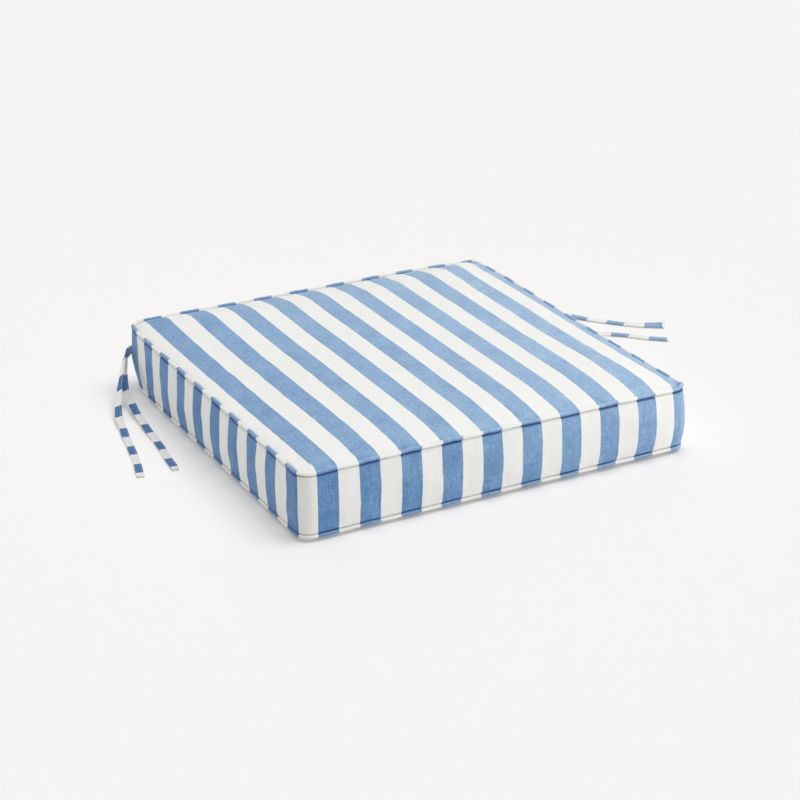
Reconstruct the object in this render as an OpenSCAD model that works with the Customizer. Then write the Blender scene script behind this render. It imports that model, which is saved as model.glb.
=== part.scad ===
// Box-edge seat pad: a foam block in a fibre wrap, inside a sewn striped cover
// with piped edges, a zip along the back and a pair of ties at each back corner.
// Millimetres. X is the width, +Y the back, Z up. The pad rests on z = 0.

/* [Pad] */
// Width between the two side seams
pad_w = 500; // [420:1:560]
// Depth from the front seam to the back seam
pad_d = 500; // [420:1:560]
// Height of the boxing between its two seams
boxing_h = 70; // [56:1:90]
// Radius of the upright corners
corner_r = 16; // [14:1:24]
// Rise of the middle of the top above its edge
crown = 10; // [4:1:14]
// How far the boxing swells out at mid height
bulge = 2.5; // [1.5:0.5:4]

/* [Cloth and piping] */
// Thickness of the cover cloth
cloth = 1; // [0.8:0.1:1.2]
// Outside diameter of the piping
welt_d = 5; // [4.6:0.1:5.6]
// Diameter of the cord inside the piping
welt_cord_d = 3; // [2.6:0.1:3.2]
// Width of the seam allowances inside the cover
allowance = 10; // [8:1:12]

/* [Zip] */
// Clear gap between the two folded edges beside the zip
zip_gap = 12; // [11.5:0.5:14]
// Where the slider stands across the back
slider_x = 200; // [-200:1:200]
// Length of the pull from its hinge
pull_len = 18; // [12:1:20]

/* [Ties] */
// Width of a tie
tie_w = 9; // [7:0.5:9.5]
// Thickness of a tie, two layers of cloth with the edges turned in
tie_t = 2; // [1.6:0.1:2]
// Height of the bar tacks that hold the ties
tie_z = 46; // [40:1:50]

/* [Part to draw] */
// Which sub-part to draw

/* [Hidden] */
$fn = 64;

gap = 0.3;                                // air left between layers that lie together
seam_low = 8;                             // height of the lower boxing seam
seam_high = seam_low + boxing_h;
mid = seam_low + boxing_h / 2;            // height of the middle of the boxing
swell_r = (boxing_h * boxing_h / 4 + bulge * bulge) / (2 * bulge);
back_y = pad_d / 2 + bulge;               // outermost face of the back boxing
wide = pad_w - 2 * corner_r;              // straight run of the front and back
deep = pad_d - 2 * corner_r;              // straight run of the sides
welt_in = 0.5;                            // piping centre behind the seam plane
welt_z = seam_high + 0.2 + welt_d / 2;    // height of the upper piping
panel_in = welt_in + welt_d / 2 + 0.4;    // edge of the panels behind the seam plane
edge_z = seam_high + 4.7;                 // height of the top panel at its edge
crown_run = 90;                           // width of the band where the top rolls off
bottom_run = 14;                          // width of the band where the bottom rolls up
join_x = pad_w / 2 - corner_r - 6;        // where band and zip boxing are joined
half_gap = zip_gap / 2;
fold_w = 10;                              // cloth turned under beside the zip
tape_w = 15;
chain_slit = 0.8;                         // half the slit between the two coils
coil_w = 2.4;
coil_t = 2.1;
foam_low = seam_low + 2;
foam_high = seam_high - 2.5;
foam_half_d = pad_d / 2 - 18;
wrap_cheek = 4.6;                         // wrap face behind the seam plane
wrap_rim = 13.5;                          // wrap clear of the seam allowances
tack_x = join_x + 0.5;                    // face of the bar tack on the join side
tie_first = back_y + gap + tie_t / 2;     // centre of the tie next to the boxing
tie_second = tie_first + tie_t + gap;     // centre of the tie laid over it
rings = 20;                               // cross-sections along each tie

blue = [0.44, 0.58, 0.76];
white = [0.93, 0.93, 0.91];
thread = [0.30, 0.40, 0.56];

// Tie routes from the back corner: x outward, y past the back, z, twist.
left_outer = [[-20, tie_second, 46, -90], [-16, tie_second, 46, -90], [-11, tie_second, 46, -90],
              [-2, 3, 45, -85], [5, -5, 44, -75], [13, -20, 42, -60], [25, -41, 32, -45],
              [36, -60, 20, -35], [47, -82, 11, -25], [55, -104, 6.5, -12], [60, -130, 3, 0],
              [65, -152, 2, 0], [70, -178, 1.5, 0], [75, -202, 1.5, 0], [81, -228, 1.5, 0],
              [87, -249, 1.5, 0], [90, -261, 1.5, 0]];
left_inner = [[-20, tie_first, 46, -90], [-16, tie_first, 46, -90], [-11, tie_first, 46, -90],
              [-4, 0.6, 44, -85], [3, -7, 42, -75], [10, -17, 39, -60], [20, -38, 27, -45],
              [27, -58, 16, -25], [29, -84, 9, -10], [31, -106, 5, 0], [33, -131, 3, 0],
              [35, -152, 2, 0], [37, -180, 1.5, 0], [40, -205, 1.5, 0], [44, -232, 1.5, 0],
              [46, -252, 1.5, 0], [48, -263, 1.5, 0]];
right_outer = [[-20, tie_second, 46, 90], [-16, tie_second, 46, 90], [-11, tie_second, 46, 90],
               [-1, 4, 45, 85], [12, 0, 41, 70], [28, -6, 32, 45], [45, -15, 22, 25],
               [62, -27, 13, 10], [78, -42, 7, 3], [92, -59, 3.5, 0], [105, -77, 2, 0],
               [116, -94, 1.5, 0], [133, -114, 1.5, 0], [150, -133, 1.5, 0],
               [168, -150, 2.5, -14], [188, -164, 3.2, -24], [192, -167, 3.3, -25]];
right_inner = [[-20, tie_first, 46, 90], [-16, tie_first, 46, 90], [-11, tie_first, 46, 90],
               [-4, 0.8, 43, 85], [4, -7, 39, 75], [10, -19, 33, 60], [22, -39, 23, 35],
               [37, -61, 13, 15], [53, -84, 6.5, 5], [70, -108, 3, 0], [86, -129, 2, 0],
               [101, -146, 1.5, 0], [114, -154, 1.5, 0], [131, -169, 1.5, 0],
               [149, -189, 1.5, 0], [168, -205, 1.5, 0], [172, -208, 1.5, 0]];

// ---- shared shapes ----

// Sweeps a section round the pad. Section x is outward from the seam plane, y is height.
module run(reach, length) {
    translate([reach, length / 2, 0]) rotate([90, 0, 0]) linear_extrude(height = length) children();
}

module turn(x, y, heading) {
    translate([x * (pad_w / 2 - corner_r), y * (pad_d / 2 - corner_r), 0]) rotate([0, 0, heading])
        rotate_extrude(angle = 90) translate([corner_r, 0]) children();
}

module sides() {
    run(pad_w / 2, deep) children();
    rotate([0, 0, 180]) run(pad_w / 2, deep) children();
    rotate([0, 0, 270]) run(pad_d / 2, wide) children();
    turn(1, 1, 0) children();
    turn(-1, 1, 90) children();
    turn(-1, -1, 180) children();
    turn(1, -1, 270) children();
}

module loop() {
    sides() children();
    back(-pad_w / 2 + corner_r, pad_w / 2 - corner_r) children();
}

// Sweeps a section along part of the back, from x0 to x1.
module back(x0, x1) {
    translate([x1, pad_d / 2, 0]) rotate([0, 0, 90]) rotate([90, 0, 0])
        mirror([0, 0, 1]) linear_extrude(height = x1 - x0) children();
}

// Layer of the swollen boxing wall, t0 to t1 below its face, z0 to z1 high.
module layer(t0, t1, z0, z1) {
    intersection() {
        translate([bulge - swell_r, mid]) difference() {
            circle(r = swell_r - t0, $fn = 720);
            circle(r = swell_r - t1, $fn = 720);
        }
        translate([-8, z0]) square([14, z1 - z0]);
    }
}

module slab(inset, z0, z1) {
    r = corner_r - inset;
    translate([0, 0, z0]) linear_extrude(height = z1 - z0) {
        square([pad_w - 2 * corner_r, pad_d - 2 * inset], center = true);
        square([pad_w - 2 * inset, pad_d - 2 * corner_r], center = true);
        for (x = [-1, 1], y = [-1, 1])
            translate([x * (pad_w / 2 - corner_r), y * (pad_d / 2 - corner_r)]) circle(r = r);
    }
}

// Flat middle that rolls down towards both ends over a band of the given width.
module arch(size, reach, top, rise, band) {
    r = (band * band + rise * rise) / (2 * rise);
    flat = size / 2 - panel_in - band;
    half = size / 2 - reach;
    intersection() {
        translate([-half, mid]) square([2 * half, top - mid]);
        union() {
            translate([-flat, mid]) square([2 * flat, top - mid]);
            for (s = [-1, 1]) translate([s * flat, top - r]) circle(r = r, $fn = 720);
        }
    }
}

// Everything under the rolled-off top surface, down to mid height.
module dome(reach, top, rise, band) {
    intersection() {
        rotate([90, 0, 0]) linear_extrude(height = pad_d, center = true)
            arch(pad_w, reach, top, rise, band);
        rotate([90, 0, 90]) linear_extrude(height = pad_w, center = true)
            arch(pad_d, reach, top, rise, band);
    }
}

// Sheet of a panel with its edge folded down inside the piping and turned under.
module panel(rise, band) {
    difference() {
        intersection() {
            dome(panel_in, edge_z + rise, rise, band);
            slab(panel_in, mid, edge_z + rise + 1);
        }
        dome(0, edge_z + rise - cloth, rise, band);
    }
    loop() {
        translate([-panel_in - cloth, seam_high + 1.3]) square([cloth, edge_z - seam_high - 1.5]);
        translate([-allowance, seam_high + 1.3]) square([allowance - panel_in, cloth]);
    }
}

module upside_down() {
    translate([0, 0, 2 * mid]) mirror([0, 0, 1]) children();
}

module welt_section() {
    difference() {
        union() {
            translate([-welt_in, welt_z]) circle(r = welt_d / 2);
            translate([-allowance, seam_high + 0.2]) square([allowance - welt_in, 0.8]);
        }
        translate([-welt_in, welt_z]) circle(r = welt_cord_d / 2 + 0.1);
    }
}

module cord_section() {
    translate([-welt_in, welt_z]) circle(r = welt_cord_d / 2);
}

module boxing_section() {
    layer(0, cloth, seam_low, seam_high);
    translate([-allowance, seam_high - cloth]) square([allowance - 0.4, cloth]);
    translate([-allowance, seam_low]) square([allowance - 0.4, cloth]);
}

// ---- cover ----

module top_panel() { color(white) panel(crown, crown_run); }

module bottom_panel() {
    color(white) upside_down() panel(2 * mid - edge_z, bottom_run);
}

module boxing_band() {
    color(blue) {
        sides() boxing_section();
        for (s = [-1, 1]) {
            x0 = s > 0 ? join_x : -pad_w / 2 + corner_r;
            back(x0, x0 + 6) {
                boxing_section();
                layer(cloth, 2 * cloth, seam_low + cloth, seam_high - cloth);
            }
        }
    }
}

// Upper strip of the back boxing, folded under beside the zip.
module zip_strip() {
    back(-join_x, join_x) {
        layer(0, cloth, mid + half_gap, seam_high);
        layer(cloth, 2 * cloth, mid + half_gap, mid + half_gap + fold_w);
        translate([-allowance, seam_high - cloth]) square([allowance - 0.4, cloth]);
    }
    for (s = [-1, 1]) {
        foot = s > 0 ? join_x : -join_x - 5;
        step = s > 0 ? join_x - 1 : -join_x;
        back(step, step + 1) layer(0, 3 * cloth, mid + half_gap, seam_high - cloth - 0.1);
        back(foot, foot + 5) layer(2 * cloth + 0.1, 3 * cloth, mid + half_gap, seam_high - cloth - 0.1);
    }
}

module zip_boxing_upper() { color(blue) zip_strip(); }
module zip_boxing_lower() { color(blue) upside_down() zip_strip(); }

module top_welt_cover() { color(blue) loop() welt_section(); }
module bottom_welt_cover() { color(blue) upside_down() loop() welt_section(); }
module top_welt_cord() { color(white) loop() cord_section(); }
module bottom_welt_cord() { color(white) upside_down() loop() cord_section(); }

// ---- filling ----

module foam_core() {
    color([0.93, 0.88, 0.70]) translate([-pad_w / 2 + 3, -foam_half_d, foam_low])
        cube([pad_w - 6, 2 * foam_half_d, foam_high - foam_low]);
}

// Wrapped over the foam from front to back, the two ends of the foam stay open.
module fibre_wrap() {
    low = cloth + gap + 0.1;
    color([0.97, 0.97, 0.96]) difference() {
        union() {
            intersection() {
                dome(wrap_rim, edge_z + crown - cloth - gap, crown, crown_run);
                slab(wrap_rim, mid, 2 * mid + 20);
            }
            slab(wrap_rim, low, mid);
            translate([-pad_w / 2 + wrap_rim, -pad_d / 2 + wrap_cheek, foam_low - 0.2])
                cube([pad_w - 2 * wrap_rim, pad_d - 2 * wrap_cheek, foam_high - foam_low + 0.4]);
        }
        translate([-pad_w / 2, -foam_half_d - 0.2, foam_low - 0.2])
            cube([pad_w, 2 * foam_half_d + 0.4, foam_high - foam_low + 0.4]);
    }
}

// ---- zip ----

module tape() {
    back(-join_x + 1.2, join_x - 1.2)
        layer(2 * cloth + 0.05, 2 * cloth + 0.85, mid + chain_slit, mid + chain_slit + tape_w);
}

module coil() {
    back(-join_x + 1.2, join_x - 1.2) translate([bulge - 2 * cloth, mid + chain_slit]) {
        translate([coil_t / 2, coil_t / 2]) circle(r = coil_t / 2);
        translate([0, coil_t / 2]) square([coil_t, coil_w - coil_t / 2]);
    }
}

module zipper_tape_upper() { color([0.86, 0.87, 0.88]) tape(); }
module zipper_tape_lower() { color([0.86, 0.87, 0.88]) upside_down() tape(); }
module zipper_coil_upper() { color([0.95, 0.95, 0.94]) coil(); }
module zipper_coil_lower() { color([0.95, 0.95, 0.94]) upside_down() coil(); }

// Two plates joined by a bridge that runs in the slit of the chain.
module zipper_slider() {
    color([0.72, 0.72, 0.74]) translate([slider_x, back_y, mid]) {
        translate([-5.5, 0.4, -4.9]) cube([11, 1.2, 9.8]);
        for (s = [-1, 1]) {
            translate([-5.5, -1.7, s * 4.25 - 0.65]) cube([11, 2.5, 1.3]);
            translate([-2, 1.4, s * 2.5 - 0.5]) cube([4, 2.2, 1]);
            translate([0, 3.6, s * 2.5 - 0.5]) cylinder(h = 1, r = 2);
        }
        translate([-5.5, -4.2, -4.9]) cube([11, 1, 9.8]);
        translate([2, -3.6, -0.5]) cube([3, 4.4, 1]);
        translate([0, 3.6, -2.6]) cylinder(h = 5.2, r = 0.7);
    }
}

module zipper_pull() {
    color([0.72, 0.72, 0.74]) translate([slider_x, back_y + 3.6, mid]) difference() {
        union() {
            translate([0, 0, -1.7]) cylinder(h = 3.4, r = 1.6);
            translate([-4, -0.6, -1.7]) cube([4, 1.2, 3.4]);
            translate([3 - pull_len, -0.6, -2.5]) cube([pull_len - 6.5, 1.2, 5]);
            translate([3 - pull_len, 0.6, 0]) rotate([90, 0, 0]) cylinder(h = 1.2, r = 2.5);
        }
        translate([0, 0, -2]) cylinder(h = 4, r = 0.95);
        translate([3 - pull_len, 1, 0]) rotate([90, 0, 0]) cylinder(h = 2, r = 1.2);
    }
}

// ---- ties ----

function unit(v) = v / norm(v);
function across(a, b) = [a[1] * b[2] - a[2] * b[1], a[2] * b[0] - a[0] * b[2], a[0] * b[1] - a[1] * b[0]];

// Smooth curve through four neighbouring route points.
function blend(a, b, c, d, t) =
    (2 * b + (c - a) * t + (2 * a - 5 * b + 4 * c - d) * t * t + (3 * b - a - 3 * c + d) * t * t * t) / 2;
function along(route, u) = let (
    n = len(route) - 1,
    i = min(floor(u * n), n - 1)
) blend(route[max(i - 1, 0)], route[i], route[i + 1], route[min(i + 2, n)], u * n - i);

// Route point in the pad's own frame. The first three points give y from the middle of the pad.
function placed(p, side, i) =
    [side * (pad_w / 2 + p[0]), i < 3 ? p[1] : pad_d / 2 + p[1], i < 3 ? tie_z : p[2], p[3]];
function centre(q) = [q[0], q[1], q[2]];

// Eight-sided flat section at point q, heading the given way.
function ring(q, heading) = let (
    level = unit(across([0, 0, 1], heading)),
    up = across(heading, level),
    flat = cos(q[3]) * level - sin(q[3]) * up,
    face = cos(q[3]) * up + sin(q[3]) * level,
    w = tie_w / 2,
    h = tie_t / 2,
    c = 0.5
) [for (k = [[w, c - h], [w, h - c], [w - c, h], [c - w, h], [-w, h - c], [-w, c - h], [c - w, -h], [w - c, -h]])
    centre(q) + k[0] * flat + k[1] * face];

module tie(route, side) {
    path = [for (i = [0:len(route) - 1]) placed(route[i], side, i)];
    spots = [for (i = [0:rings - 1]) along(path, i / (rings - 1))];
    headings = [for (i = [0:rings - 1])
        unit(centre(spots[min(i + 1, rings - 1)]) - centre(spots[max(i - 1, 0)]))];
    points = [for (i = [0:rings - 1]) each ring(spots[i], headings[i])];
    walls = [for (i = [0:rings - 2], k = [0:7]) each [
        [i * 8 + k, i * 8 + (k + 1) % 8, i * 8 + 8 + (k + 1) % 8],
        [i * 8 + k, i * 8 + 8 + (k + 1) % 8, i * 8 + 8 + k]]];
    last = (rings - 1) * 8;
    color(blue) polyhedron(points = points,
        faces = concat([[for (k = [0:7]) 7 - k]], walls, [[for (k = [0:7]) last + k]]));
}

module tie_left_outer() { tie(left_outer, -1); }
module tie_left_inner() { tie(left_inner, -1); }
module tie_right_outer() { tie(right_outer, 1); }
module tie_right_inner() { tie(right_inner, 1); }

// Dense thread block that holds both ties to the boxing at the join.
module tie_tack() {
    color(thread) translate([tack_x, back_y - 0.4, tie_z - 4])
        cube([pad_w / 2 - 20 - tack_x, tie_second - back_y + tie_t / 2, 8]);
}

module tie_tack_left() { mirror([1, 0, 0]) tie_tack(); }
module tie_tack_right() { tie_tack(); }

// ---- stitching ----

module seam_thread() {
    color(thread) loop() translate([-5, seam_high - cloth - 0.35]) circle(r = 0.3);
}

module zip_thread() {
    color(thread) back(-join_x + 2, join_x - 2)
        translate([bulge - 0.18 + 0.3, mid + half_gap + 3]) circle(r = 0.3);
}

module top_seam_stitching() { seam_thread(); }
module bottom_seam_stitching() { upside_down() seam_thread(); }
module zip_stitching_upper() { zip_thread(); }
module zip_stitching_lower() { upside_down() zip_thread(); }

module join_stitching() {
    color(thread) for (x = [-join_x - 2, join_x + 1.4])
        back(x, x + 0.6) layer(3 * cloth + 0.1, 3 * cloth + 0.6, seam_low + 3, seam_high - 3);
}

foam_core();
fibre_wrap();
top_panel();
bottom_panel();
boxing_band();
zip_boxing_upper();
zip_boxing_lower();
top_welt_cover();
top_welt_cord();
bottom_welt_cover();
bottom_welt_cord();
zipper_tape_upper();
zipper_tape_lower();
zipper_coil_upper();
zipper_coil_lower();
zipper_slider();
zipper_pull();
tie_left_outer();
tie_left_inner();
tie_right_outer();
tie_right_inner();
tie_tack_left();
tie_tack_right();
top_seam_stitching();
bottom_seam_stitching();
zip_stitching_upper();
zip_stitching_lower();
join_stitching();
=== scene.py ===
"""Looks of the box-edge seat pad: striped cover, piping, zip, ties and filling, with floor, lights and camera.

Shapes are worked out in millimetres in the model's frame and turned into metres as each mesh is made.
"""

import math

import bpy
import numpy as np
from mathutils import Matrix, Vector


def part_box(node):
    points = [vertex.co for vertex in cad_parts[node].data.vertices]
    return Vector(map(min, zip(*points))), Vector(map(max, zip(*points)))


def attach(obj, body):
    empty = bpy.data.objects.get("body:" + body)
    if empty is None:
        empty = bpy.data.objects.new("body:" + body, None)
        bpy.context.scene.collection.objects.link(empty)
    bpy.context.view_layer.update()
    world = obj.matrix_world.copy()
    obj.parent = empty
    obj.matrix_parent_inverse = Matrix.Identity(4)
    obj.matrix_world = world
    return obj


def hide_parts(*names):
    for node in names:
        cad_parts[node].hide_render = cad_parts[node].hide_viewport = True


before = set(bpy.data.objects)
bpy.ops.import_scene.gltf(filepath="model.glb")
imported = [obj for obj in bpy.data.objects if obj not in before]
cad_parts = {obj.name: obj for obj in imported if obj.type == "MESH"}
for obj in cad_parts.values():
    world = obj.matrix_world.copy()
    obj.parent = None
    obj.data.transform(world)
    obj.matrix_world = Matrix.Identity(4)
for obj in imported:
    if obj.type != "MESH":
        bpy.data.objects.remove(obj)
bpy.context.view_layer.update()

MM = 0.001
SCENE = bpy.context.scene


def box(node):
    """Lowest and highest corner of a CAD node, in millimetres."""
    low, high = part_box(node)
    return np.array(low) * 1000, np.array(high) * 1000


def rows(*points):
    return np.array(points, float)


# ---- sizes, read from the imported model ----

BAND_LOW, BAND_HIGH = box("boxing_band")
CORD_LOW, CORD_HIGH = box("top_welt_cord")
BACK_Y = BAND_HIGH[1]  # outermost face of the back boxing
SEAM_LOW, SEAM_HIGH = BAND_LOW[2], BAND_HIGH[2]
MID = (SEAM_LOW + SEAM_HIGH) / 2
CORD_R = (CORD_HIGH[2] - CORD_LOW[2]) / 2
CORD_Z = (CORD_HIGH[2] + CORD_LOW[2]) / 2
CORD_IN = 0.5  # cord centre behind the seam plane
HALF = CORD_HIGH[0] - CORD_R + CORD_IN  # seam plane from the middle
CORNER_R = 16.0
RUN = HALF - CORNER_R
JOIN_X = HALF - CORNER_R - 6
STRIPE = 25.4
FIRST_BLUE = -229.8  # left edge of the first blue stripe of the top

# t runs along the seam line from the middle of the back to the left, and on round the pad
ARC = CORNER_R * math.pi / 2
KNOTS = np.cumsum([0, RUN, ARC, 2 * RUN, ARC, 2 * RUN, ARC, 2 * RUN, ARC, RUN])
LOOP = KNOTS[-1]
T_L, T_F, T_R, T_B = ((KNOTS[i] + KNOTS[i + 1]) / 2 for i in (1, 3, 5, 7))

# ---- camera ----


def aimed(made, x, y, z, where):
    """Puts an object in the scene with the given axes, at a place in metres."""
    m = np.eye(4)
    m[:3] = np.stack([x, y, z, where], -1)
    made.matrix_world = Matrix(m.tolist())
    SCENE.collection.objects.link(made)
    return made


AZIMUTH, ELEVATION, ROLL = (math.radians(v) for v in (-27.62, 23.69, -0.54))
TARGET = np.array((4.9, 5.9, 17.6)) * MM
DISTANCE = 2.774
right = np.array((math.cos(AZIMUTH), math.sin(AZIMUTH), 0.0))
back = np.array((right[1] * math.cos(ELEVATION), -right[0] * math.cos(ELEVATION), math.sin(ELEVATION)))
up = np.cross(back, right)
tilted = math.cos(ROLL) * right + math.sin(ROLL) * up
upright = math.cos(ROLL) * up - math.sin(ROLL) * right
camera = bpy.data.objects.new("camera", bpy.data.cameras.new("camera"))
camera.data.lens, camera.data.sensor_width = 102.87, 36.0
camera.data.clip_start, camera.data.clip_end = 0.05, 60.0
SCENE.camera = aimed(camera, tilted, upright, back, TARGET + DISTANCE * back)

# ---- seeded ripples ----


def ripple(t, seed, wave, terms=9, loop=LOOP):
    """Smooth uneven wave of about unit height along t, which closes on itself over loop."""
    r = np.random.default_rng(seed)
    out = np.zeros_like(np.asarray(t, float))
    for _ in range(terms):
        turns = max(1, round(loop / wave * r.uniform(0.55, 1.6)))
        out += r.uniform(0.5, 1.0) * np.sin(2 * np.pi * turns * t / loop + r.uniform(0, 2 * np.pi))
    return out / math.sqrt(terms) * 1.1


def field(x, y, seed, wave, terms=12):
    """Smooth uneven surface of about unit height over x and y."""
    r = np.random.default_rng(seed)
    out = 0 * x + 0 * y
    for _ in range(terms):
        angle, length = r.uniform(0, 2 * np.pi), wave * r.uniform(0.6, 1.7)
        along = x * math.cos(angle) + y * math.sin(angle)
        out += r.uniform(0.5, 1.0) * np.sin(2 * np.pi * along / length + r.uniform(0, 2 * np.pi))
    return out / math.sqrt(terms) * 1.1


def bell(x, middle, width):
    return np.exp(-(((np.asarray(x, float) - middle) / width) ** 2) / 2)


def ramp(x, start, end):
    """0 before start, 1 past end, smooth between."""
    s = np.clip((np.asarray(x, float) - start) / (end - start), 0, 1)
    return s * s * (3 - 2 * s)


# ---- the line round the pad ----


def rim(t):
    """Centre of the corner arc behind each point of the seam line, and the outward direction there."""
    t = np.mod(t, LOOP)
    cx = np.interp(t, KNOTS, [0, -RUN, -RUN, -RUN, -RUN, RUN, RUN, RUN, RUN, 0])
    cy = np.interp(t, KNOTS, [RUN, RUN, RUN, -RUN, -RUN, -RUN, -RUN, RUN, RUN, RUN])
    angle = np.radians(np.interp(t, KNOTS, [90, 90, 180, 180, 270, 270, 360, 360, 450, 450]))
    return np.stack([cx, cy], -1), np.stack([np.cos(angle), np.sin(angle)], -1)


def around(t, reach, z):
    """Points at reach outward from the seam line and height z; t has one axis less than reach."""
    centre, out = rim(t)
    flat = centre[..., None, :] + out[..., None, :] * (CORNER_R + reach)[..., None]
    return np.concatenate([flat, np.broadcast_to(z, reach.shape)[..., None]], -1)


# Where the stripes of the boxing and piping fall: t against the stripe phase, blue in every second half.
PHASE_T = [0, 229.8, 252.0, 734.0, 755.6, 1213.7, 1238.5, 1695.7, 1729.0, 1745.1, LOOP]
PHASE_W = [763.2, 533.4, 508.0, 25.4, 0, -457.2, -482.6, -939.8, -965.2, -990.6, -1218.0]


def phase(t):
    turns = np.floor(np.asarray(t, float) / LOOP)
    return np.interp(t - turns * LOOP, PHASE_T, PHASE_W) - turns * 1981.2


def spread_along(t, knots, values, soft):
    """Smooth curve round the pad through the given values."""
    fine = np.arange(0, LOOP, 2.0)
    knots, values = np.array(knots, float), np.array(values, float)
    rough = np.interp(fine, np.concatenate([knots - LOOP, knots, knots + LOOP]), np.tile(values, 3))
    kernel = np.exp(-((np.arange(-60, 61) * 2.0 / soft) ** 2) / 2)
    smooth = np.convolve(np.concatenate([rough[-60:], rough, rough[:60]]), kernel / kernel.sum(), "valid")
    return np.interp(np.mod(t, LOOP), np.append(fine, LOOP), np.append(smooth, smooth[0]))


SWELL_T = [0, 215, T_L, 330, 493, 660, T_F, 800, 986, 1120, 1185, T_R, 1290, 1480, 1640, T_B, 1755, 1960]
SWELL = [2.4, 2.4, 0.8, 3.0, 4.2, 3.4, 0.6, 3.2, 5.0, 6.2, 7.0, 2.6, 3.8, 5.0, 3.8, 0.8, 2.4, 2.4]


def swell(t):
    """How far the boxing stands out at mid height."""
    return spread_along(t, SWELL_T, SWELL, 16.0)


def warp(p):
    """The shape the stuffed pad takes: sides drawn in, corners lowered, the low back left corner tucked under."""
    p = np.array(p, float)
    x, y, z = p[..., 0], p[..., 1], p[..., 2]
    X, Y = np.clip(x / HALF, -1.02, 1.02), np.clip(y / HALF, -1.02, 1.02)
    bow_x, bow_y = 1 - X * X, 1 - Y * Y
    low, high = np.clip((MID - z) / 35, 0, 1.2) ** 1.4, np.clip((z - 20) / 60, 0, 1)
    dx = -4.0 * bow_y * np.clip(X, 0, 1.02) ** 3 + 1.5 * bow_y * np.clip(-X, 0, 1.02) ** 3
    dy = 1.0 * bow_x * np.clip(-Y, 0, 1.02) ** 3
    dy = dy - 1.5 * bow_x * np.clip(Y, 0, 1.02) ** 3 * (np.clip(np.abs(z - MID) - 14, 0, 40) / 24)
    dz = 1.7 * bow_x * np.clip(-Y, 0, 1.02) ** 4 * high
    corner_b = bell(x, HALF, 42) * bell(y, HALF, 42)
    corner_l = bell(x, -HALF, 34) * bell(y, HALF, 34)
    corner_r = bell(x, HALF, 55) * bell(y, -HALF, 55)
    tip_b = bell(x, HALF, 20) * bell(y, HALF, 20)
    tip_l = bell(x, -HALF, 20) * bell(y, HALF, 20)
    rise = np.clip((z - SEAM_LOW) / 70, -0.1, 1.1)
    side = np.clip(X, 0, 1.02) ** 6
    dz = dz - 2.8 * corner_b * high - 1.6 * X * np.clip(Y, 0, 1.02) ** 4 * high
    dx = dx + 6.0 * corner_l * low - 1.5 * corner_r * low - 1.6 * low * side
    dx = dx + side * (0.8 - (3.2 + 1.4 * corner_r) * rise)
    dy = dy - 6.0 * corner_l * low + 1.0 * corner_r * low
    dx = dx + 2.6 * tip_l * rise - 0.6 * tip_b * rise
    dy = dy - 2.2 * tip_l * rise - 1.8 * tip_b * rise
    return np.stack([x + dx, y + dy, z + dz], -1)


# ---- meshes ----


def piece(name, points, polygons, material, slot, node=None, cloth=None):
    """A smooth piece of the pad from points in millimetres and arrays of corners, in place of a CAD node."""
    mesh = bpy.data.meshes.new(name)
    polygons = by_size(polygons)
    sizes = np.concatenate([np.full(len(p), p.shape[1]) for p in polygons])
    loops = np.concatenate([p.ravel() for p in polygons])
    points = np.asarray(points, float).reshape(-1, 3)
    mesh.vertices.add(len(points))
    mesh.vertices.foreach_set("co", (points * MM).astype(np.float32).ravel())
    mesh.loops.add(len(loops))
    mesh.loops.foreach_set("vertex_index", loops.astype(np.int32))
    mesh.polygons.add(len(sizes))
    mesh.polygons.foreach_set("loop_start", (np.cumsum(sizes) - sizes).astype(np.int32))
    mesh.update(calc_edges=True)
    mesh.validate()
    if cloth is not None:
        layer = mesh.attributes.new("cloth", "FLOAT_VECTOR", "POINT")
        layer.data.foreach_set("vector", (np.asarray(cloth, float) * MM).astype(np.float32).ravel())
    mesh.shade_smooth()
    mesh.materials.append(material)
    made = bpy.data.objects.new(name, mesh)
    SCENE.collection.objects.link(made)
    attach(made, "pad")
    if node:
        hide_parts(node)
    return made


def grid(n, m, first=0, flip=False, around_m=False):
    """Quads over n by m points, the second index running fastest."""
    i, j = (k.ravel() for k in np.meshgrid(np.arange(n - 1), np.arange(m if around_m else m - 1), indexing="ij"))
    l = (j + 1) % m
    quads = np.stack([i * m + j, (i + 1) * m + j, (i + 1) * m + l, i * m + l], -1) + first
    return quads[:, ::-1] if flip else quads


def shell(outer, inner, cloth=None):
    """Closed thin solid between two grids of points: points, polygons, cloth coordinates."""
    n, m = outer.shape[:2]
    whole = n * m
    i, j = np.arange(n - 1), np.arange(m - 1)
    sides = [
        np.stack([i * m, i * m + whole, (i + 1) * m + whole, (i + 1) * m], -1),
        np.stack([i * m, (i + 1) * m, (i + 1) * m + whole, i * m + whole], -1) + m - 1,
        np.stack([j, j + 1, j + 1 + whole, j + whole], -1),
        np.stack([j, j + whole, j + 1 + whole, j + 1], -1) + (n - 1) * m,
    ]
    points = np.concatenate([outer.reshape(-1, 3), inner.reshape(-1, 3)])
    polygons = [grid(n, m), grid(n, m, whole, flip=True), *sides]
    return points, polygons, None if cloth is None else np.concatenate([cloth.reshape(-1, 3)] * 2)


def tube(rings):
    """Tube whose rings are points [ring, point], with a fan at both ends."""
    n, m = rings.shape[:2]
    middle = np.stack([rings[0].mean(0), rings[-1].mean(0)])
    j = np.arange(m)
    head = np.stack([j, (j + 1) % m, np.full(m, n * m)], -1)
    tail = np.stack([(j + 1) % m, j, np.full(m, m + 1)], -1) + (n - 1) * m
    return np.concatenate([rings.reshape(-1, 3), middle]), [grid(n, m, around_m=True), head, tail]


def joined(parts):
    """Several (points, polygons) as one."""
    points, polygons, count = [], [], 0
    for p, faces in parts:
        points.append(p)
        polygons += [f + count for f in faces]
        count += len(p)
    return np.concatenate(points), polygons


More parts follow.
